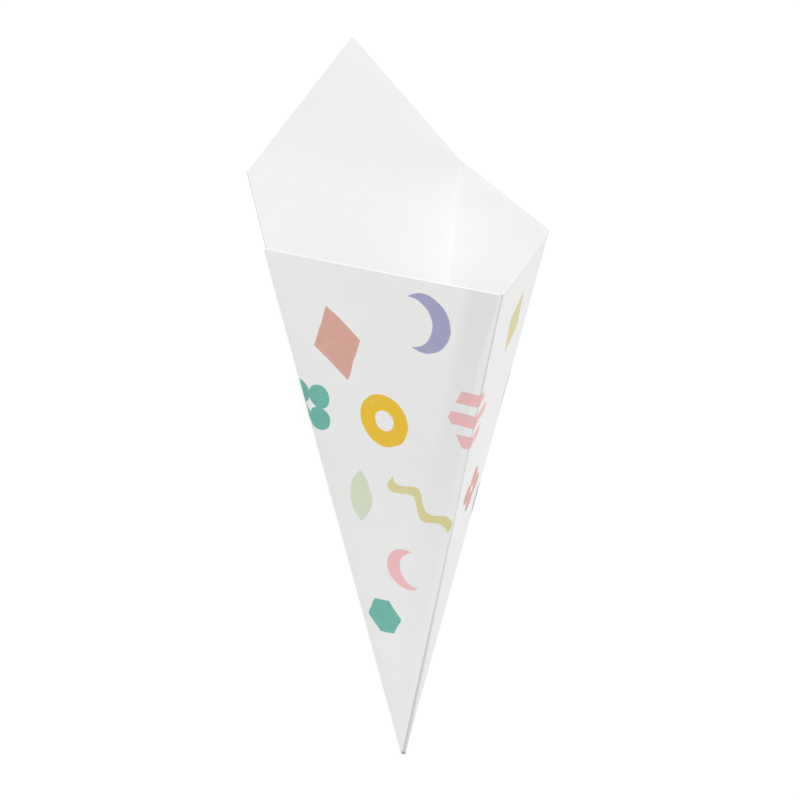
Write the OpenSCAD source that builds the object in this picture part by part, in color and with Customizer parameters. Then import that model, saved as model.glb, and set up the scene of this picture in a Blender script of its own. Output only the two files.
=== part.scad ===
// Paper food cone: one printed board sheet folded into a four-sided open cone
// and closed by a glued flap. Millimetres. It lies on its back panel: the board's
// outer face there is z = 0, the panel's centre line runs along +Y to the peak,
// and the virtual point where all four panels meet is on that line at the tip end.

/* [Blank] */
// angle at the tip of the front panel and of the back panel, degrees
wide_panel_angle = 27; // [24:0.5:30]
// angle at the tip of each of the two narrow right-hand panels, degrees
narrow_panel_angle = 18; // [16:0.5:20]
// tip to front rim, along the left fold
front_rim_length = 215.5; // [190:0.5:225]
// how much nearer the tip the front rim is at the seam than at the left fold
front_rim_drop = 1; // [0:0.1:3]
// tip to rim, along the fold between the two narrow panels
side_rim_length = 221.5; // [212:0.5:232]
// tip to the shoulders of the back panel, along its folds
shoulder_length = 243.8; // [236:0.2:256]
// tip to the peak of the back panel
peak_length = 286.5; // [262:0.5:300]
// how far the peak stands to the right of the back panel's centre line
peak_shift = 1.2; // [0:0.1:3]
// how far the left shoulder stands in from the left fold
shoulder_inset = 2.9; // [2.2:0.1:5]
// outward bow of the rim over the narrow panel beside the seam
rim_bow = 0.7; // [0.3:0.1:2]
// distance from the virtual point to the cut end of the tip, along its folds
tip_cut = 5.2; // [5:0.1:8]

/* [Board] */
// thickness of the board
board_thickness = 0.45; // [0.35:0.05:0.5]

/* [Folds] */
// angle that the cone is opened to, between its left fold and its right fold, degrees
opening_angle = 28; // [24:0.5:32]
// outer radius of the scored folds
score_radius = 0.55; // [0.52:0.01:0.6]
// outer radius of the soft left fold at the tip
soft_radius_tip = 0.6; // [0.55:0.01:0.7]
// outer radius of the soft left fold at the front rim
soft_radius_rim = 1.6; // [1:0.1:2]

/* [Glue flap] */
// width of the flap behind the front panel
flap_width = 14.5; // [10:0.5:18]
// angle at which the flap narrows towards the tip, degrees
flap_taper = 14; // [10:1:16]
// how far the flap's upper edge stays under the front rim at the seam
flap_drop = 1; // [0.5:0.5:4]
// how far the front panel's cut edge stands in from the seam's corner
seam_step = 0.5; // [0.3:0.05:0.5]

/* [Hidden] */
$fn = 96;
eps = 0.01;
lap = 4;
half = wide_panel_angle / 2;
ray_b = half;
ray_r = half + narrow_panel_angle;
ray_f = half + 2 * narrow_panel_angle;
// inner angles of the cone's cross-section at its left, right and two other corners
left_corner = 2 * acos((cos(narrow_panel_angle) - cos(wide_panel_angle) * cos(opening_angle))
    / (sin(wide_panel_angle) * sin(opening_angle)));
right_corner = 2 * acos((cos(wide_panel_angle) - cos(narrow_panel_angle) * cos(opening_angle))
    / (sin(narrow_panel_angle) * sin(opening_angle)));
mid_corner = acos((cos(opening_angle) - cos(wide_panel_angle) * cos(narrow_panel_angle))
    / (sin(wide_panel_angle) * sin(narrow_panel_angle)));
// the flap's face is sunk under the front panel by the board, less the glue's bite
flap_depth = board_thickness - 0.02;
flap_line = flap_depth / sin(mid_corner);
middle = (peak_length + tip_cut) / 2;
// the sheet is drawn from a little nearer the virtual point, then cut across
start = tip_cut - 0.6;
// tip to rim along the seam
seam_rim = front_rim_length - front_rim_drop;
left_ray = [-sin(ray_b), cos(ray_b), 0];
right_ray = [sin(ray_b), cos(ray_b), 0] * cos(narrow_panel_angle)
    + [-cos(ray_b) * cos(mid_corner), sin(ray_b) * cos(mid_corner), sin(mid_corner)]
    * sin(narrow_panel_angle);
axis = (left_ray + right_ray) / norm(left_ray + right_ray);

// distance from a corner line at which a fold of that radius leaves the panel
function setback(radius, corner) = radius / tan(corner / 2);
// point of the flat blank: angle from the back panel's centre line, distance from
// the tip along that line, and offset from it towards larger angles
function at(angle, dist, off = 0) =
    [dist * sin(angle) + off * cos(angle), dist * cos(angle) - off * sin(angle)];

module plate() {
    linear_extrude(height = board_thickness) children();
}

// turns what lies beyond a line through the tip up by the fold's outer angle
module folded(angle, corner, shift = 0) {
    p = at(angle, 0, shift);
    translate([p[0], p[1], 0]) rotate(a = corner - 180, v = [sin(angle), cos(angle), 0])
        translate([-p[0], -p[1], 0]) children();
}

// curved strip of a fold, its outer radius growing from r1 at distance s1 to r2 at s2
module fold_strip(angle, corner, s1, s2, r1, r2, shift = 0) {
    d1 = setback(r1, corner);
    d2 = setback(r2, corner);
    lean = atan((d2 - d1) / (s2 - s1));
    run = (s2 - s1) / cos(lean);
    tilt = atan((r2 - r1) / run);
    sweep = acos((cos(180 - corner) - pow(sin(tilt), 2)) / pow(cos(tilt), 2));
    o = r1 - eps;
    i = r1 - board_thickness + eps;
    p = at(angle, s1, shift - d1);
    translate([p[0], p[1], r1]) rotate([0, 0, lean - angle]) rotate([tilt, 0, 0])
        rotate([-90, 0, 0]) rotate([0, 0, 90 - sweep - lap])
            rotate_extrude(angle = sweep + 2 * lap) polygon([
                [i * cos(tilt), -i * sin(tilt)],
                [o * cos(tilt), -o * sin(tilt)],
                [run * sin(tilt) + o * cos(tilt), run * cos(tilt) - o * sin(tilt)],
                [run * sin(tilt) + i * cos(tilt), run * cos(tilt) - i * sin(tilt)]]);
}

module back_panel() {
    inner = setback(soft_radius_tip, left_corner);
    outer = setback(soft_radius_rim, left_corner);
    right = setback(score_radius, mid_corner);
    plate() polygon([
        at(-ray_b, start, inner),
        at(-ray_b, front_rim_length, outer),
        at(-ray_b, shoulder_length, shoulder_inset),
        at(0, peak_length, peak_shift),
        at(ray_b, shoulder_length, -right),
        at(ray_b, start, -right)]);
}

module front_panel() {
    inner = setback(soft_radius_tip, left_corner);
    outer = setback(soft_radius_rim, left_corner);
    free = -ray_b - wide_panel_angle;
    plate() polygon([
        at(-ray_b, start, -inner),
        at(-ray_b, front_rim_length, -outer),
        at(free, seam_rim, seam_step),
        at(free, start, seam_step)]);
}

module back_side_panel() {
    left = setback(score_radius, mid_corner);
    right = setback(score_radius, right_corner);
    plate() polygon([
        at(ray_b, start, left),
        at(ray_b, shoulder_length, left),
        at(ray_r, side_rim_length, -right),
        at(ray_r, start, -right)]);
}

// narrow panel beside the seam, its rim an arc of a large circle
module seam_side_panel() {
    left = setback(score_radius, right_corner);
    right = flap_line + setback(score_radius, mid_corner);
    a = at(ray_r, side_rim_length, left);
    b = at(ray_f, seam_rim, -right);
    chord = norm(b - a);
    radius = chord * chord / (8 * rim_bow) + rim_bow / 2;
    out = [b[1] - a[1], a[0] - b[0]] / chord;
    centre = (a + b) / 2 + out * (radius - rim_bow);
    plate() intersection() {
        polygon([
            at(ray_r, start, left),
            a,
            a - 2 * out * rim_bow,
            b - 2 * out * rim_bow,
            b,
            at(ray_f, start, -right)]);
        translate(centre) circle(r = radius, $fn = 720);
    }
}

module glue_flap() {
    near = setback(score_radius, mid_corner) - flap_line;
    wide = flap_width - flap_line;
    root = near + 0.4;
    knee = start + (wide - root) / tan(flap_taper);
    top = tan(half + 6);
    plate() polygon([
        at(ray_f, start, near),
        at(ray_f, seam_rim - flap_drop, near),
        at(ray_f, seam_rim - flap_drop - (wide - near) * top, wide),
        at(ray_f, knee, wide),
        at(ray_f, start, root)]);
}

// everything nearer the virtual point than the cut across the tip
module tip_waste() {
    size = 4 * tip_cut;
    rotate([0, acos(axis[2]), atan2(axis[1], axis[0])])
        translate([-size / 2, -size / 2, tip_cut * cos(opening_angle / 2) - size]) cube(size);
}

// back panel in place, then each further panel turned up along its fold
module wrapped_sheet() {
    back_panel();
    mirror([1, 0, 0]) fold_strip(ray_b, left_corner, start, front_rim_length,
        soft_radius_tip, soft_radius_rim);
    rotate(a = 180 - left_corner, v = left_ray) front_panel();
    fold_strip(ray_b, mid_corner, start, shoulder_length, score_radius, score_radius);
    folded(ray_b, mid_corner) {
        back_side_panel();
        fold_strip(ray_r, right_corner, start, side_rim_length,
            score_radius, score_radius);
        folded(ray_r, right_corner) {
            seam_side_panel();
            fold_strip(ray_f, mid_corner, start, seam_rim,
                score_radius, score_radius, -flap_line);
            folded(ray_f, mid_corner, -flap_line) glue_flap();
        }
    }
}

module cone_sheet() {
    color([0.94, 0.94, 0.93]) translate([0, -middle, 0]) difference() {
        wrapped_sheet();
        tip_waste();
    }
}

cone_sheet();
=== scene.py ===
"""Paper food cone: a printed board sheet, folded from its flat blank and glued to itself."""

from math import acos, cos, radians, sin, tan

import bpy
from bpy.props import FloatProperty, FloatVectorProperty, PointerProperty
from bpy.types import Operator, Panel, PropertyGroup
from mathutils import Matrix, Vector


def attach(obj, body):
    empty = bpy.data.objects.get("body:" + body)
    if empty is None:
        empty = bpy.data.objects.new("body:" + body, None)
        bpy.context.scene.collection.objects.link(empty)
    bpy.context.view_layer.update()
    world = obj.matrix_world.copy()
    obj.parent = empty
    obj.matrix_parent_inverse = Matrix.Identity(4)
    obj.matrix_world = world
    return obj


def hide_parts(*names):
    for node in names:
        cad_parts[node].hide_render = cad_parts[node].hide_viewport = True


bl_info = {
    "name": "Paper food cone",
    "version": (1, 0, 0),
    "blender": (4, 5, 0),
    "location": "3D View > Sidebar > Cone",
    "description": "Folds a printed board blank into a food cone and lights it",
    "category": "Add Mesh",
}

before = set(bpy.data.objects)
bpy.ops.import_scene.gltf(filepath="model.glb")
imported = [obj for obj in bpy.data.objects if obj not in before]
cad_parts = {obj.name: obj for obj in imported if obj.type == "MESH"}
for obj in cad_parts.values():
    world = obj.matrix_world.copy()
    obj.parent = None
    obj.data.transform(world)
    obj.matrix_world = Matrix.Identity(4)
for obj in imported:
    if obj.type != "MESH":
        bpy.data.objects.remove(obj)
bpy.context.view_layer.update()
MM = 0.001


def length(name, description, millimetres):
    return FloatProperty(name=name, description=description, default=millimetres * MM,
                         unit="LENGTH", precision=5)


def angle(name, description, degrees):
    return FloatProperty(name=name, description=description, default=radians(degrees), subtype="ANGLE")


def colour(name, description, rgb):
    return FloatVectorProperty(name=name, description=description, default=rgb, subtype="COLOR", min=0, max=1)


def place(name, description, metres):
    return FloatVectorProperty(name=name, description=description, default=metres,
                               subtype="TRANSLATION", unit="LENGTH")


def amount(name, description, value):
    return FloatProperty(name=name, description=description, default=value)


class ConeBlank(PropertyGroup):
    """Sizes of the flat sheet, all measured from the point where its folds meet."""

    wide: angle("Wide panels", "Angle at the tip of the front and of the back panel", 27)
    narrow: angle("Narrow panels", "Angle at the tip of each narrow side panel", 18)
    front_rim: length("Front rim", "Tip to the front rim, along the left fold", 215.5)
    front_rim_drop: length("Front rim drop", "How much nearer the tip the front rim is at the seam", 1)
    side_rim: length("Side rim", "Tip to the rim at the fold between the narrow panels", 221.5)
    shoulder: length("Shoulders", "Tip to the shoulders of the back panel", 243.8)
    peak: length("Peak", "Tip to the peak of the back panel", 286.5)
    peak_shift: length("Peak shift", "How far the peak stands right of the centre line", 1.2)
    shoulder_inset: length("Shoulder inset", "How far the left shoulder stands in from its fold", 2.9)
    rim_bow: length("Rim bow", "Outward bow of the rim beside the seam", 0.7)
    tip_cut: length("Tip cut", "Where the tip is cut off", 4.2)
    middle: length("Middle", "Tip to the origin, which lies halfway along the solid", 145.85)
    board: length("Board", "Thickness of the board", 0.45)
    flap_width: length("Flap width", "Width of the glued flap", 14.5)
    flap_taper: angle("Flap taper", "Angle at which the flap narrows towards the tip", 14)
    flap_drop: length("Flap drop", "How far the flap stays under the front rim", 1)
    seam_step_tip: length("Seam step at tip", "How far the front's cut edge stands in from the corner", 1.3)
    seam_step_rim: length("Seam step at rim", "The same distance at the front rim", 0.1)


class ConeFolds(PropertyGroup):
    """How far the cone is opened, and how its folds and panels are bent."""

    opening: angle("Opening", "Angle between the left and the right fold", 28)
    score_tip: length("Score radius at tip", "Outer radius of the scored folds at the tip", 0.47)
    score_rim: length("Score radius at rim", "Outer radius of the scored folds at the front rim", 0.55)
    soft_tip: length("Soft fold at tip", "Outer radius of the left fold at the tip", 0.8)
    soft_rim: length("Soft fold at rim", "Outer radius of the left fold at the front rim", 1.68)
    bow: length("Panel bow", "How far a panel stands out of flat at the rim", 0.35)
    wave: length("Panel wave", "Height of the slow waves in a panel", 0.12)


class ConeFinish(PropertyGroup):
    """Colours of the board and of the inks, and the painted shade on its cut edges, inner face, flap and seam
    groove.
    """

    board: colour("Board", "Coated face of the board", (0.92, 0.92, 0.918))
    inside: colour("Inside", "Bare inner face of the board", (0.955, 0.955, 0.953))
    core: colour("Core", "Cut edge of the front rim and below the left shoulder", (0.89, 0.888, 0.88))
    # painted shade: the cut edges of the back rims, and more so of the rim beside the seam, are painted
    # darker than the core
    core_painted_shade: colour("Core painted shade", "Cut edge of the rims at the back", (0.80, 0.798, 0.79))
    core_darker_painted_shade: colour("Core darker painted shade", "Cut edge of the rim beside the seam", (0.70, 0.698, 0.69))
    # painted shade: the inner face is painted darker towards the peak
    inside_painted_shade: colour("Inside painted shade", "Inner face towards the peak", (0.86, 0.86, 0.858))
    gold: colour("Gold", "Golden yellow ink", (0.892, 0.571, 0.027))
    straw: colour("Straw", "Pale khaki ink", (0.765, 0.694, 0.345))
    coral: colour("Coral", "Dusty coral ink", (0.741, 0.410, 0.336))
    lilac: colour("Lilac", "Grey lilac ink", (0.393, 0.388, 0.585))
    pink: colour("Pink", "Soft pink ink", (0.927, 0.544, 0.551))
    sage: colour("Sage", "Pale sage ink", (0.709, 0.789, 0.599))
    teal: colour("Teal", "Muted teal ink", (0.169, 0.493, 0.415))
    doubled: amount("Doubled board", "How much less light the doubled board lets through", 0.085)
    # painted shade: how much darker the seam groove is painted
    groove: amount("Seam groove", "How much darker the groove beside the seam's cut edge is", 0.05)


class ConeStage(PropertyGroup):
    """Camera, lamps and floor."""

    camera_place: place("Camera place", "Where the camera stands", (-0.3996, 0.07745, 0.44472))
    camera_turn: FloatVectorProperty(
        name="Camera turn", description="How the camera is turned", subtype="EULER",
        default=(radians(-3.478), radians(-43.222), radians(-5.603)))
    lens: amount("Lens", "Focal length on a 36 mm wide frame, in millimetres", 69.61)
    floor: colour("Floor", "Colour of the floor", (0.87, 0.87, 0.87))
    white: amount("Backdrop white", "Share of plain white in the floor where the camera sees it", 0.68)
    glow: amount("Backdrop strength", "Strength of that plain white", 1.15)
    sky: amount("Sky", "Strength of the even light from all round", 0.72)
    key_place: place("Key place", "Where the lamp at the open end stands", (-0.38, 1.27, 0.64))
    side_place: place("Side place", "Where the lamp beyond the tip stands", (0.97, -0.9, 0.68))
    key: amount("Key lamp", "Power of the large lamp at the open end, in watts", 11.3)
    side: amount("Side lamp", "Power of the lamp beyond the tip, in watts", 4.2)


# Arithmetic on sockets

class Value:
    """A socket that takes part in Python arithmetic: each operation adds a Math node."""

    def __init__(self, tree, socket):
        self.tree = tree
        self.socket = socket

    def math(self, operation, *others, clamp=False):
        node = self.tree.nodes.new("ShaderNodeMath")
        node.operation = operation
        node.use_clamp = clamp
        for slot, value in zip(node.inputs, (self, *others)):
            plug(self.tree, slot, value)
        return Value(self.tree, node.outputs[0])

    def turned(self, operation, other):
        return number(self.tree, other).math(operation, self)

    def __add__(self, other): return self.math("ADD", other)
    def __radd__(self, other): return self.math("ADD", other)
    def __sub__(self, other): return self.math("SUBTRACT", other)
    def __rsub__(self, other): return self.turned("SUBTRACT", other)
    def __mul__(self, other): return self.math("MULTIPLY", other)
    def __rmul__(self, other): return self.math("MULTIPLY", other)
    def __truediv__(self, other): return self.math("DIVIDE", other)
    def __rtruediv__(self, other): return self.turned("DIVIDE", other)
    def __neg__(self): return self.math("MULTIPLY", -1)
    def __abs__(self): return self.math("ABSOLUTE")
    def __lt__(self, other): return self.math("LESS_THAN", other)
    def __gt__(self, other): return self.math("GREATER_THAN", other)


def plug(tree, socket, value):
    """Links a value into a socket, or writes a plain number, colour or name there."""
    if isinstance(value, Value):
        tree.links.new(value.socket, socket)
    elif isinstance(value, bpy.types.NodeSocket):
        tree.links.new(value, socket)
    else:
        socket.default_value = value


def number(tree, value):
    if isinstance(value, Value):
        return value
    node = tree.nodes.new("ShaderNodeValue")
    node.outputs[0].default_value = value
    return Value(tree, node.outputs[0])


def larger(a, b): return a.math("MAXIMUM", b)
def root(a): return a.math("SQRT")
def sine(a): return a.math("SINE")
def cosine(a): return a.math("COSINE")
def reach(x, y): return root(x * x + y * y)
def clamped(a): return a.math("ADD", 0.0, clamp=True)


class Nodes:
    """Adds nodes to one tree."""

    def __init__(self, tree):
        self.tree = tree

    def add(self, kind, settings=None, values=None):
        """A node of this kind, its settings set first, then its sockets by name or number."""
        node = self.tree.nodes.new(kind)
        for name, setting in (settings or {}).items():
            setattr(node, name, setting)
        for name, value in (values or {}).items():
            plug(self.tree, node.inputs[name], value)
        return node

    def value(self, socket):
        return Value(self.tree, socket)

    def split(self, vector):
        parts = self.add("ShaderNodeSeparateXYZ", values={0: vector})
        return [self.value(socket) for socket in parts.outputs]

    def join(self, x, y, z):
        return self.add("ShaderNodeCombineXYZ", values={0: x, 1: y, 2: z}).outputs[0]

    def vector(self, operation, *values):
        return self.add("ShaderNodeVectorMath", {"operation": operation}, dict(enumerate(values)))

    def mix_vector(self, factor, a, b):
        node = self.add("ShaderNodeMix", {"data_type": "VECTOR"}, {0: factor, 4: a, 5: b})
        return node.outputs[1]

    def mix_colour(self, factor, a, b):
        node = self.add("ShaderNodeMix", {"data_type": "RGBA"}, {0: factor, 6: a, 7: b})
        return node.outputs[2]


# The cone's angles and the flat blank

class Corners:
    """Inner angles of the opened cone's cross-section, which its four panel angles settle."""

    def __init__(self, blank, folds):
        wide, narrow, opening = blank.wide, blank.narrow, folds.opening
        self.left = 2 * acos((cos(narrow) - cos(wide) * cos(opening)) / (sin(wide) * sin(opening)))
        self.right = 2 * acos((cos(wide) - cos(narrow) * cos(opening)) / (sin(narrow) * sin(opening)))
        self.middle = acos((cos(opening) - cos(wide) * cos(narrow)) / (sin(wide) * sin(narrow)))
        self.ray_back = blank.wide / 2
        self.ray_right = self.ray_back + blank.narrow
        self.ray_seam = self.ray_right + blank.narrow
        self.ray_free = -self.ray_back - blank.wide
        self.flap_line = -blank.board / sin(self.middle)


def at(ray, distance, offset=0.0):
    """Point of the flat blank at a distance along a ray from the tip, and an offset to its right."""
    return Vector((distance * sin(ray) + offset * cos(ray), distance * cos(ray) - offset * sin(ray), 0))


def evenly(count):
    return [i / count for i in range(count + 1)]


def panel_cuts(count, edge=0.012):
    """Fractions across a panel, with a narrow step beside each fold so that its shading stays flat."""
    return [0, edge] + [i / count for i in range(1, count)] + [1 - edge, 1]


class Strip:
    """A stretch of the blank between two lines from the tip: a panel, or a fold between panels.

    Its bow says how many times the set panel bow it stands out, inwards where it is negative.
    """

    def __init__(self, left, right, cuts, ends=None, rim=None, bow=0.0):
        self.left, self.right, self.cuts = left, right, cuts
        self.ends = ends or (lambda f: self.span)
        self.rim = rim
        self.bow = bow
        self.span = (0, 0)

    def point(self, f, distance):
        return self.left(distance).lerp(self.right(distance), f)


def blank_strips(blank, folds, corners):
    """Every strip of the sheet from the front panel's cut edge round to the flap's far edge."""
    tip, front = blank.tip_cut, blank.front_rim
    back, right, seam = corners.ray_back, corners.ray_right, corners.ray_seam
    line = corners.flap_line
    seam_end = front - blank.front_rim_drop

    def half_width(radius_tip, radius_rim, corner):
        def half(distance):
            radius = radius_tip + (radius_rim - radius_tip) * (distance - tip) / (front - tip)
            return radius / tan(corner / 2)
        return half

    soft = half_width(folds.soft_tip, folds.soft_rim, corners.left)
    score = half_width(folds.score_tip, folds.score_rim, corners.middle)
    ridge = half_width(folds.score_tip, folds.score_rim, corners.right)

    def edge(ray, half, side, shift=0.0):
        return lambda distance: at(ray, distance, shift + side * half(distance))

    def crossing(ray, distance, half):
        return lambda f: at(ray, distance, half(distance) * (2 * f - 1))

    def back_rim(f):
        left = at(-back, blank.shoulder, blank.shoulder_inset)
        peak = at(0, blank.peak, blank.peak_shift)
        shoulder = at(back, blank.shoulder, -score(blank.shoulder))
        return left.lerp(peak, 2 * f) if f < 0.5 else peak.lerp(shoulder, 2 * f - 1)

    def side_rim(f):
        start = at(back, blank.shoulder, score(blank.shoulder))
        return start.lerp(at(right, blank.side_rim, -ridge(blank.side_rim)), f)

    def seam_rim(f):
        start = at(right, blank.side_rim, ridge(blank.side_rim))
        end = at(seam, seam_end, line - score(seam_end))
        along = (end - start).normalized()
        return start.lerp(end, f) + Vector((-along.y, along.x, 0)) * blank.rim_bow * 4 * f * (1 - f)

    def front_ends(f):
        return tip, seam_end + blank.front_rim_drop * f

    def flap_ends(f):
        if f == 0:
            return tip, seam_end
        near = score(seam_end)
        width = near + (blank.flap_width - near) * f
        low = tip + max(0, width - near - 0.4 * MM) / tan(blank.flap_taper)
        return low, seam_end - blank.flap_drop - (width - near) * tan(back + radians(6))

    def cut_edge(distance):
        less = (blank.seam_step_tip - blank.seam_step_rim) * distance / front
        return at(corners.ray_free, distance, blank.seam_step_tip - less)

    def far_edge(distance):
        return at(seam, distance, line + blank.flap_width)

    strips = [
        Strip(cut_edge, edge(-back, soft, -1), panel_cuts(16), ends=front_ends, bow=1),
        Strip(edge(-back, soft, -1), edge(-back, soft, 1), evenly(12)),
        Strip(edge(-back, soft, 1), edge(back, score, -1), panel_cuts(20), rim=back_rim, bow=-0.5),
        Strip(edge(back, score, -1), edge(back, score, 1), evenly(10),
              rim=crossing(back, blank.shoulder, score)),
        Strip(edge(back, score, 1), edge(right, ridge, -1), panel_cuts(12), rim=side_rim, bow=1),
        Strip(edge(right, ridge, -1), edge(right, ridge, 1), evenly(5),
              rim=crossing(right, blank.side_rim, ridge)),
        Strip(edge(right, ridge, 1), edge(seam, score, -1, line), panel_cuts(12),
              ends=lambda f: (tip, seam_end), rim=seam_rim, bow=2.2),
        Strip(edge(seam, score, -1, line), edge(seam, score, 1, line), evenly(10),
              ends=lambda f: (tip, seam_end)),
        Strip(edge(seam, score, 1, line), far_edge, panel_cuts(6, 0.03), ends=flap_ends),
    ]
    for strip in strips:
        strip.span = (tip, front)
    return strips


def flat_blank(blank, folds, corners, low_rows=56, high_rows=10):
    """The unfolded sheet as a flat mesh, with how freely each point may bow kept beside it."""
    points, bows, columns = [], [], []

    def extend(column, rows, bow):
        for point in rows:
            column.append(len(points))
            points.append(point)
            bows.append(bow * point.length / blank.front_rim)

    def above(strip, f, foot):
        return [foot.lerp(strip.rim(f), row) for row in evenly(high_rows)[1:]]

    for strip in blank_strips(blank, folds, corners):
        if columns and strip.rim and len(columns[-1]) == low_rows + 1:
            extend(columns[-1], above(strip, 0, points[columns[-1][-1]]), 0.0)
        for f in strip.cuts[1:] if columns else strip.cuts:
            low, high = strip.ends(f)
            rows = [strip.point(f, low + (high - low) * row) for row in evenly(low_rows)]
            if strip.rim:
                rows += above(strip, f, rows[-1])
            columns.append([])
            extend(columns[-1], rows, strip.bow * 4 * f * (1 - f))
    faces = []
    for here, there in zip(columns, columns[1:]):
        for row in range(min(len(here), len(there)) - 1):
            faces.append((here[row], there[row], there[row + 1], here[row + 1]))
    mesh = bpy.data.meshes.new("flat_blank")
    mesh.from_pydata(points, [], faces)
    bow = mesh.attributes.new("bow", "FLOAT", "POINT")
    bow.data.foreach_set("value", bows)
    mesh.update()
    return mesh


# Folding the blank

def socket(tree, name, kind, default=None, output=False):
    item = tree.interface.new_socket(name=name, in_out="OUTPUT" if output else "INPUT", socket_type=kind)
    if default is not None:
        item.default_value = default
    return item


def fold_group():
    """One fold: points past a line turn up about it, and those on it follow an arc."""
    tree = bpy.data.node_groups.new("Fold", "GeometryNodeTree")
    for name in ("Position", "Flat"):
        socket(tree, name, "NodeSocketVector")
    for name in ("Ray", "Line", "Turn", "Radius at tip", "Radius at rim", "Tip", "Rim", "Side"):
        socket(tree, name, "NodeSocketFloat")
    socket(tree, "Position", "NodeSocketVector", output=True)
    nodes = Nodes(tree)
    given = nodes.add("NodeGroupInput").outputs
    ray, line, turn, radius_tip, radius_rim, tip, rim, side = (nodes.value(given[i]) for i in range(2, 10))

    along = nodes.join(sine(ray), cosine(ray), 0.0)
    across = nodes.join(side * cosine(ray), -(side * sine(ray)), 0.0)
    shift = side * line

    def measured(point):
        distance = nodes.value(nodes.vector("DOT_PRODUCT", point, along).outputs["Value"])
        offset = nodes.value(nodes.vector("DOT_PRODUCT", point, across).outputs["Value"]) - shift
        return distance, offset

    distance, offset = measured(given["Position"])
    flat_distance, flat_offset = measured(given["Flat"])
    height = nodes.split(given["Position"])[2]
    radius = radius_tip + (radius_rim - radius_tip) * ((flat_distance - tip) / (rim - tip))
    half = radius * (turn / 2).math("TANGENT")
    bent = clamped((flat_offset + half) / (2 * half)) * turn
    arc_offset = (radius - height) * sine(bent) - half
    arc_height = radius - (radius - height) * cosine(bent)
    past_offset = offset * cosine(turn) - height * sine(turn)
    past_height = offset * sine(turn) + height * cosine(turn)

    def placed(away, up):
        foot = nodes.vector("SCALE", along)
        plug(tree, foot.inputs["Scale"], distance)
        step = nodes.vector("SCALE", across)
        plug(tree, step.inputs["Scale"], away + shift)
        flat = nodes.vector("ADD", foot.outputs[0], step.outputs[0]).outputs[0]
        return nodes.vector("ADD", flat, nodes.join(0.0, 0.0, up)).outputs[0]

    before = flat_offset < -half
    after = flat_offset > half
    result = nodes.mix_vector(after, placed(arc_offset, arc_height), placed(past_offset, past_height))
    result = nodes.mix_vector(before, result, given["Position"])
    nodes.add("NodeGroupOutput", values={0: result})
    return tree


FOLD_INPUTS = {
    "Board": "Thickness of the board",
    "Bow": "Outward bow of the panels at the rim",
    "Wave": "Height of the slow waves in the panels",
    "Middle": "Distance from the tip to the origin",
}


def folding_tree(blank, folds, corners, material):
    """Gives the flat blank its thickness, then turns it up along its folds one after another."""
    fold = fold_group()
    tree = bpy.data.node_groups.new("Folded sheet", "GeometryNodeTree")
    socket(tree, "Geometry", "NodeSocketGeometry")
    for name, words in FOLD_INPUTS.items():
        socket(tree, name, "NodeSocketFloat").description = words
    socket(tree, "Geometry", "NodeSocketGeometry", output=True)
    nodes = Nodes(tree)
    given = nodes.add("NodeGroupInput").outputs
    board, bow, wave, middle = (nodes.value(given[name]) for name in FOLD_INPUTS)

    def stored(mesh, name, kind, domain, value):
        return nodes.add("GeometryNodeStoreNamedAttribute", {"data_type": kind, "domain": domain},
                         {"Geometry": mesh, "Name": name, "Value": value}).outputs[0]

    flat = nodes.add("GeometryNodeInputPosition").outputs[0]
    mesh = stored(given["Geometry"], "blank", "FLOAT2", "CORNER", flat)
    raised = nodes.add("GeometryNodeExtrudeMesh", {"mode": "FACES"},
                       {"Mesh": mesh, "Offset": (0.0, 0.0, 1.0), "Offset Scale": board, "Individual": False})
    walls = stored(raised.outputs["Mesh"], "inside", "FLOAT", "FACE", raised.outputs["Top"])
    walls = stored(walls, "cut_edge", "FLOAT", "FACE", raised.outputs["Side"])
    outside = nodes.add("GeometryNodeFlipFaces", values={0: mesh}).outputs[0]
    both = nodes.add("GeometryNodeJoinGeometry")
    tree.links.new(walls, both.inputs[0])
    tree.links.new(outside, both.inputs[0])
    slab = nodes.add("GeometryNodeMergeByDistance",
                     values={"Geometry": both.outputs[0], "Distance": 1e-6}).outputs[0]

    freedom = nodes.value(nodes.add("GeometryNodeInputNamedAttribute", {"data_type": "FLOAT"},
                                    {"Name": "bow"}).outputs[0])
    ripples = nodes.add("ShaderNodeTexNoise", {"noise_dimensions": "3D"},
                        {"Vector": flat, "Scale": 22.0, "Detail": 1.0, "Roughness": 0.4}).outputs[0]
    lift = nodes.value(ripples) - 0.5
    lift = freedom * (lift * 2 * wave - bow)
    bowed = nodes.vector("ADD", flat, nodes.join(0.0, 0.0, lift)).outputs[0]

    def folded(point, ray, corner, line=0.0, side=1.0,
               radius_tip=folds.score_tip, radius_rim=folds.score_rim):
        node = nodes.add("GeometryNodeGroup", {"node_tree": fold})
        values = {"Position": point, "Flat": flat, "Ray": ray, "Line": line, "Turn": radians(180) - corner,
                  "Radius at tip": radius_tip, "Radius at rim": radius_rim, "Tip": blank.tip_cut,
                  "Rim": blank.front_rim, "Side": side}
        for name, value in values.items():
            plug(tree, node.inputs[name], value)
        return node.outputs[0]

    point = folded(bowed, corners.ray_seam, corners.middle, line=corners.flap_line)
    point = folded(point, corners.ray_right, corners.right)
    point = folded(point, corners.ray_back, corners.middle)
    point = folded(point, -corners.ray_back, corners.left, side=-1.0,
                   radius_tip=folds.soft_tip, radius_rim=folds.soft_rim)
    point = nodes.vector("ADD", point, nodes.join(0.0, -middle, 0.0)).outputs[0]
    shaped = nodes.add("GeometryNodeSetPosition", values={"Geometry": slab, "Position": point}).outputs[0]
    whole = nodes.add("GeometryNodeRealizeInstances", values={0: shaped}).outputs[0]
    dressed = nodes.add("GeometryNodeSetMaterial",
                        values={"Geometry": whole, "Material": material}).outputs[0]
    nodes.add("NodeGroupOutput", values={0: dressed})
    return tree


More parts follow.
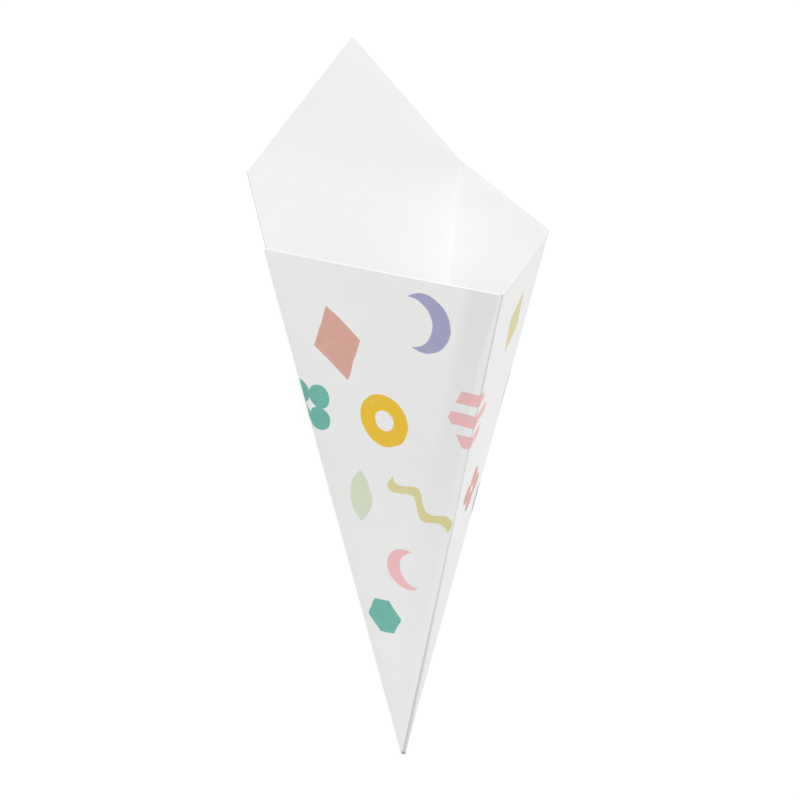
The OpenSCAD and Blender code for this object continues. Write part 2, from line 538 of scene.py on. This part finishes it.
def set_inputs(modifier, values):
    """Sets a modifier's inputs by their sockets' identifiers."""
    for item in modifier.node_group.interface.items_tree:
        if item.item_type == "SOCKET" and item.in_out == "INPUT" and item.name in values:
            modifier[item.identifier] = values[item.name]


def fixed_mesh(source, name):
    """The evaluated result of an object's modifiers as a plain object that replaces it."""
    graph = bpy.context.evaluated_depsgraph_get()
    mesh = bpy.data.meshes.new_from_object(source.evaluated_get(graph), depsgraph=graph)
    mesh.name = name
    bpy.data.objects.remove(source)
    result = bpy.data.objects.new(name, mesh)
    bpy.context.scene.collection.objects.link(result)
    return result


# The print: shapes in millimetres of the flat blank, each a distance to its outline

def ring(x, y, size):
    return abs(reach(x, y) - size * 0.68) - size * 0.30


def crescent(x, y, size):
    return larger(reach(x, y) - size, size * 0.86 - reach(x - size * 0.52, y))


def lozenge(x, y, size):
    return abs(x) * 0.80 + abs(y) * 0.60 - size * 0.72


def clover(x, y, size):
    return reach(abs(x) - size * 0.48, abs(y) - size * 0.48) - size * 0.50


def leaf(x, y, size):
    return reach(x, abs(y) + size * 0.85) - size * 1.30


def ribbon(x, y, size):
    wave = sine(x * (4.6 / size)) * (size * 0.24)
    return larger((abs(y - wave) - size * 0.20) * 0.8, abs(x) - size * 1.25)


def bars(x, y, size):
    middle = y - size * 0.9
    pitch = size * 0.9
    near = abs(middle.math("PINGPONG", pitch / 2))
    rows = near - size * 0.26
    width = abs(x) + abs(y) * 0.5 - size * 1.15
    return larger(larger(rows, width), abs(y) - size * 1.24)


def hexagon(x, y, size):
    return larger(abs(x) - (size * 0.86 - abs(y) * 0.62), abs(y) - size * 0.8)


class Motif:
    """One printed shape: what it is, its ink, where it lies round the tip, its tilt and size."""

    def __init__(self, shape, ink, ray, distance, tilt, size):
        self.shape, self.ink = shape, ink
        self.ray, self.distance = radians(ray), distance
        self.tilt, self.size = radians(tilt), size


# how near the seam a motif is drawn on both sides of it, and how sharp an ink edge is per millimetre
SEAM_REACH = radians(9)
EDGE_SHARPNESS = 6

MOTIFS = [
    Motif(crescent, "lilac", -32.5, 194, 25, 11),
    Motif(lozenge, "coral", -21, 180, 12, 12),
    Motif(bars, "pink", 49.5, 164, -62, 9.5),
    Motif(ring, "gold", -27, 152, 0, 10.5),
    Motif(clover, "teal", -14.5, 155, 30, 9.5),
    Motif(ribbon, "straw", -33.5, 122, 62, 11.5),
    Motif(leaf, "sage", -21, 119, -60, 11),
    Motif(crescent, "pink", -31, 92, 200, 8.5),
    Motif(hexagon, "teal", -23, 68, 20, 9),
    Motif(lozenge, "straw", 40.5, 193, -20, 10),
    Motif(leaf, "sage", 31.5, 158, 40, 11),
    Motif(clover, "coral", 41, 126, 0, 8),
    Motif(ring, "lilac", 30, 116, 0, 8),
    Motif(ring, "teal", 0, 252, 0, 10),
    Motif(crescent, "gold", -8, 222, 100, 11),
    Motif(bars, "lilac", 8, 212, 20, 10),
    Motif(lozenge, "pink", -3, 182, 40, 12),
    Motif(clover, "straw", 9, 158, 15, 10),
    Motif(leaf, "coral", -4, 134, 70, 12),
    Motif(ring, "sage", 6, 108, 0, 8),
    Motif(ribbon, "gold", -4, 80, 40, 8),
    Motif(hexagon, "coral", 23, 208, 30, 10),
    Motif(crescent, "teal", 21, 172, -60, 10),
    Motif(ribbon, "straw", 20, 138, 20, 9),
    Motif(lozenge, "gold", 22, 90, 10, 7),
]


def printed(nodes, base, x, y, corners, finish, strength):
    """The board's colour with every motif laid over it. A motif on the seam is drawn at both ends."""
    whole_blank = corners.ray_seam - corners.ray_free
    colour_now = base
    for motif in MOTIFS:
        copies = [motif.ray]
        if abs(motif.ray - corners.ray_seam) < SEAM_REACH:
            copies.append(motif.ray - whole_blank)
        cover = None
        for ray in copies:
            tilt = motif.tilt - (ray - motif.ray)
            cx, cy = motif.distance * sin(ray), motif.distance * cos(ray)
            u = x * cos(tilt) + (y * sin(tilt) - (cx * cos(tilt) + cy * sin(tilt)))
            v = y * cos(tilt) - (x * sin(tilt) - (cx * sin(tilt) - cy * cos(tilt)))
            mask = clamped(0.5 - motif.shape(u, v, motif.size) * EDGE_SHARPNESS)
            cover = mask if cover is None else larger(cover, mask)
        ink = (*getattr(finish, motif.ink), 1)
        colour_now = nodes.mix_colour(cover * strength, colour_now, ink)
    return colour_now


def core_colour(nodes, finish, on_front, past_right, left_side):
    """Tone of the cut edge: the raw core on the front rim and below the left shoulder, painted shade on the
    rims at the back, and darker painted shade on the rim beside the seam.
    """
    light = larger(on_front, left_side)
    core = nodes.mix_colour(light, (*finish.core_painted_shade, 1), (*finish.core, 1))
    return nodes.mix_colour(past_right, core, (*finish.core_darker_painted_shade, 1))


def flap_shade(blank, corners, x, y):
    """A front panel point's distance from the seam, how much the flap shades it, and the flap's edge."""
    free = corners.ray_free
    from_seam = x * cos(free) - y * sin(free)
    along_seam = x * sin(free) + y * cos(free)
    flap = blank.flap_width / MM
    # the shade starts 2.6 mm from the seam, and 0.6 mm from it near the rim
    near = 2.6 - 2.0 * clamped((along_seam - 185) / 25)
    low_end = 8
    behind = clamped((from_seam - near) * 0.8) * clamped((flap - from_seam) * 0.24)
    behind = behind * clamped((along_seam - low_end - from_seam / tan(blank.flap_taper)) * 0.3)
    ridge = clamped((from_seam - flap + 0.6) * 0.8)
    return from_seam, behind, ridge


def board_material(blank, corners, finish):
    """White board: bare inside, coated and printed outside, with grain, scores, a glued seam, and painted
    light and shade.
    """
    material = bpy.data.materials.new("printed_board")
    material.use_nodes = True
    tree = material.node_tree
    tree.nodes.clear()
    nodes = Nodes(tree)
    flat = nodes.add("ShaderNodeUVMap", {"uv_map": "blank"}).outputs[0]
    x, y = nodes.split(flat)[:2]
    x, y = x / MM, y / MM
    space = nodes.add("ShaderNodeTexCoord").outputs["Object"]

    def attribute(name):
        return nodes.value(nodes.add("ShaderNodeAttribute", {"attribute_name": name}).outputs["Fac"])

    def noise(scale, detail=2.0, roughness=0.5, vector=space):
        node = nodes.add("ShaderNodeTexNoise", values={"Vector": vector, "Scale": scale, "Detail": detail,
                                                       "Roughness": roughness})
        return nodes.value(node.outputs["Fac"])

    inside, edge = attribute("inside"), attribute("cut_edge")
    outside = clamped(1 - inside - edge)

    # the board's grain, and a slight unevenness of the ink's outlines, in millimetres
    fibre = noise(1400.0, 3.0, 0.6)
    cloud = noise(90.0, 3.0, 0.55)
    grain = noise(520.0, 2.0, 0.6)
    unevenness = 1.1
    wobble_x = (noise(120.0, 1.0, vector=flat) - 0.5) * unevenness
    wobble_y = (noise(135.0, 1.0, vector=flat) - 0.5) * unevenness

    # where on the sheet a point lies
    from_tip = reach(x, y)
    past_left = x * cos(corners.ray_back) + y * sin(corners.ray_back)
    on_front = past_left < 0
    past_right = x * cos(corners.ray_right) - y * sin(corners.ray_right) > 0
    left_side = (x < 0) * (from_tip < blank.shoulder / MM - 1)
    low = clamped((140 - from_tip) / 90)
    # painted shade: the inner face is painted darker slowly from 195 mm on, and faster near the peak and
    # right of it
    peak = 0.35 * clamped((from_tip - 195) / 70) + 0.65 * clamped((from_tip + 0.25 * x - 228) / 45)

    bare = nodes.mix_colour(peak, (*finish.inside, 1), (*finish.inside_painted_shade, 1))
    board = nodes.mix_colour(inside, (*finish.board, 1), bare)
    strength = outside * (0.90 + 0.10 * clamped((cloud + grain - 0.55) * 2.2))
    painted = printed(nodes, board, x + wobble_x, y + wobble_y, corners, finish, strength)
    painted = nodes.mix_colour(edge, painted, core_colour(nodes, finish, on_front, past_right, left_side))

    # the shade over the flap, strongest from 200 mm on
    from_seam, behind, ridge = flap_shade(blank, corners, x, y)
    behind = behind * outside * on_front * (0.6 + 0.8 * cloud) * (0.2 + 0.8 * clamped((from_tip - 125) / 75))
    # painted shade in the groove beside the front panel's cut edge, where the flap's fold shows, darker at
    # both ends
    past_fold = x * cos(corners.ray_seam) - y * sin(corners.ray_seam) - corners.flap_line / MM
    groove_shade_gain = 1 + 1.8 * low + 1.2 * clamped((from_tip - 150) / 50)
    groove = clamped((past_fold + 1.65 + 0.25 * low) * 1.4) * outside * groove_shade_gain
    # painted shade on the last 1.8 mm at the tip, where the folds crowd together
    point = clamped((blank.tip_cut / MM + 1.8 - from_tip) * 0.8)
    # towards the rim the cut edge along the seam stands in shadow
    shadowed = edge * on_front * (from_seam < 1.0) * clamped((from_tip - 130) / 50)
    tone = 1 - behind * finish.doubled - groove * finish.groove - point * 0.45 - shadowed * 0.5
    # painted light: the front is painted brighter in its lower half, less so at the tip, and beside the left
    # fold;
    # painted shade: the panel beside the seam is painted darker in its lower half
    painted_light = 0.05 * low - 0.018 * clamped((55 - from_tip) * 0.05) + 0.03 * clamped(past_left / 45 + 1)
    tone = tone * (1 + (painted_light * on_front - 0.06 * past_right * low) * outside)
    tone = tone * (0.985 + 0.03 * cloud) * (0.99 + 0.02 * fibre)
    shade = nodes.add("ShaderNodeCombineColor", values={0: tone, 1: tone, 2: tone}).outputs[0]
    final = nodes.add("ShaderNodeMix", {"data_type": "RGBA", "blend_type": "MULTIPLY"},
                      {0: 1.0, 6: painted, 7: shade}).outputs[2]

    # scored folds stand up as a low bead inside, and the flap's edge shows through as a low step
    def score(ray, width):
        away = abs(x * cos(ray) - y * sin(ray))
        return clamped(1 - away / width)

    bead = larger(score(corners.ray_back, 1.1), score(corners.ray_right, 0.9))
    relief = fibre * 0.012 + grain * 0.010 + cloud * 0.02 + bead * bead * inside * 0.10
    relief = relief + ridge * outside * 0.05
    bump = nodes.add("ShaderNodeBump", values={"Strength": 1.0, "Distance": MM, "Height": relief})
    roughness = 0.62 - 0.10 * outside + 0.08 * fibre
    shader = nodes.add("ShaderNodeBsdfPrincipled", values={
        "Base Color": final, "Roughness": roughness, "Normal": bump.outputs[0],
        "Specular IOR Level": 0.30, "Sheen Weight": 0.04, "Sheen Roughness": 0.5})
    nodes.add("ShaderNodeOutputMaterial", values={"Surface": shader.outputs[0]})
    return material


# Floor, lamps and camera

def floor_material(stage):
    material = bpy.data.materials.new("studio_floor")
    material.use_nodes = True
    material.node_tree.nodes.clear()
    nodes = Nodes(material.node_tree)
    path = nodes.add("ShaderNodeLightPath").outputs
    seen = nodes.value(path["Is Camera Ray"]) + path["Is Glossy Ray"] + path["Is Transmission Ray"]
    matt = nodes.add("ShaderNodeBsdfDiffuse", values={"Color": (*stage.floor, 1)})
    white = nodes.add("ShaderNodeEmission", values={"Color": (1, 1, 1, 1), "Strength": stage.glow})
    both = nodes.add("ShaderNodeMixShader",
                     values={0: clamped(seen) * stage.white, 1: matt.outputs[0], 2: white.outputs[0]})
    nodes.add("ShaderNodeOutputMaterial", values={"Surface": both.outputs[0]})
    return material


def add_floor(stage, size=8.0, drop=0.2 * MM):
    """A square floor, a hair's breadth below the sheet so that the two faces don't touch."""
    mesh = bpy.data.meshes.new("studio_floor")
    half = size / 2
    corners = [(-half, -half, -drop), (half, -half, -drop), (half, half, -drop), (-half, half, -drop)]
    mesh.from_pydata(corners, [], [(0, 1, 2, 3)])
    mesh.materials.append(floor_material(stage))
    floor = bpy.data.objects.new("studio_floor", mesh)
    bpy.context.scene.collection.objects.link(floor)


def add_lamp(name, place, target, size, power):
    lamp = bpy.data.lights.new(name, "AREA")
    lamp.shape = "DISK"
    lamp.size = size
    lamp.energy = power
    lit = bpy.data.objects.new(name, lamp)
    lit.location = place
    lit.rotation_euler = (Vector(target) - Vector(place)).to_track_quat("-Z", "Y").to_euler()
    bpy.context.scene.collection.objects.link(lit)


def add_world(strength):
    world = bpy.data.worlds.new("studio")
    world.use_nodes = True
    world.node_tree.nodes.clear()
    nodes = Nodes(world.node_tree)
    path = nodes.add("ShaderNodeLightPath").outputs
    seen = clamped(nodes.value(path["Is Camera Ray"]) + path["Is Transmission Ray"])
    light = nodes.add("ShaderNodeBackground", values={
        "Color": (1, 1, 1, 1), "Strength": seen * (1 - strength) + strength})
    nodes.add("ShaderNodeOutputWorld", values={"Surface": light.outputs[0]})
    bpy.context.scene.world = world


def add_camera(stage):
    camera = bpy.data.cameras.new("camera")
    camera.sensor_width = 36
    camera.lens = stage.lens
    camera.clip_start = 0.01
    seen = bpy.data.objects.new("camera", camera)
    seen.location = stage.camera_place
    seen.rotation_euler = stage.camera_turn
    bpy.context.scene.collection.objects.link(seen)
    bpy.context.scene.camera = seen


class PAPERCONE_OT_sheet(Operator):
    """Cut the flat blank, fold it into the cone and print it"""

    bl_idname = "papercone.sheet"
    bl_label = "Folded sheet"

    def execute(self, context):
        scene = context.scene
        blank, folds, finish = scene.cone_blank, scene.cone_folds, scene.cone_finish
        corners = Corners(blank, folds)
        material = board_material(blank, corners, finish)
        flat = bpy.data.objects.new("flat_blank", flat_blank(blank, folds, corners))
        scene.collection.objects.link(flat)
        modifier = flat.modifiers.new("Fold", "NODES")
        modifier.node_group = folding_tree(blank, folds, corners, material)
        set_inputs(modifier, {"Board": blank.board, "Bow": folds.bow, "Wave": folds.wave,
                              "Middle": blank.middle})
        sheet = fixed_mesh(flat, "folded_sheet")
        sheet.data.polygons.foreach_set("use_smooth", [True] * len(sheet.data.polygons))
        sheet.data.set_sharp_from_angle(angle=radians(35))
        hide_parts("cone_sheet")
        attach(sheet, "root")
        return {"FINISHED"}


class PAPERCONE_OT_stage(Operator):
    """Add the white floor, the lamps and the camera"""

    bl_idname = "papercone.stage"
    bl_label = "Stage"

    def execute(self, context):
        stage = context.scene.cone_stage
        add_floor(stage)
        add_world(stage.sky)
        add_lamp("key_lamp", stage.key_place, (0, 0.05, 0.03), 1.0, stage.key)
        add_lamp("side_lamp", stage.side_place, (0, 0, 0.03), 0.9, stage.side)
        add_camera(stage)
        context.scene.view_settings.view_transform = "Standard"
        return {"FINISHED"}


class PAPERCONE_PT_panel(Panel):
    """Sizes, colours and steps of the paper cone"""

    bl_idname = "PAPERCONE_PT_panel"
    bl_label = "Paper cone"
    bl_space_type = "VIEW_3D"
    bl_region_type = "UI"
    bl_category = "Cone"

    def draw(self, context):
        for group in ("cone_blank", "cone_folds", "cone_finish", "cone_stage"):
            box = self.layout.box()
            settings = getattr(context.scene, group)
            for name in settings.bl_rna.properties.keys():
                if name not in ("rna_type", "name"):
                    box.prop(settings, name)
        self.layout.operator("papercone.sheet")
        self.layout.operator("papercone.stage")


GROUPS = {
    "cone_blank": ConeBlank,
    "cone_folds": ConeFolds,
    "cone_finish": ConeFinish,
    "cone_stage": ConeStage,
}
TOOLS = [PAPERCONE_OT_sheet, PAPERCONE_OT_stage, PAPERCONE_PT_panel]


def register():
    for name, group in GROUPS.items():
        bpy.utils.register_class(group)
        setattr(bpy.types.Scene, name, PointerProperty(type=group))
    for tool in TOOLS:
        bpy.utils.register_class(tool)


def unregister():
    for tool in reversed(TOOLS):
        bpy.utils.unregister_class(tool)
    for name, group in GROUPS.items():
        delattr(bpy.types.Scene, name)
        bpy.utils.unregister_class(group)


def main():
    register()
    bpy.ops.papercone.sheet()
    bpy.ops.papercone.stage()


if __name__ == "__main__":
    main()
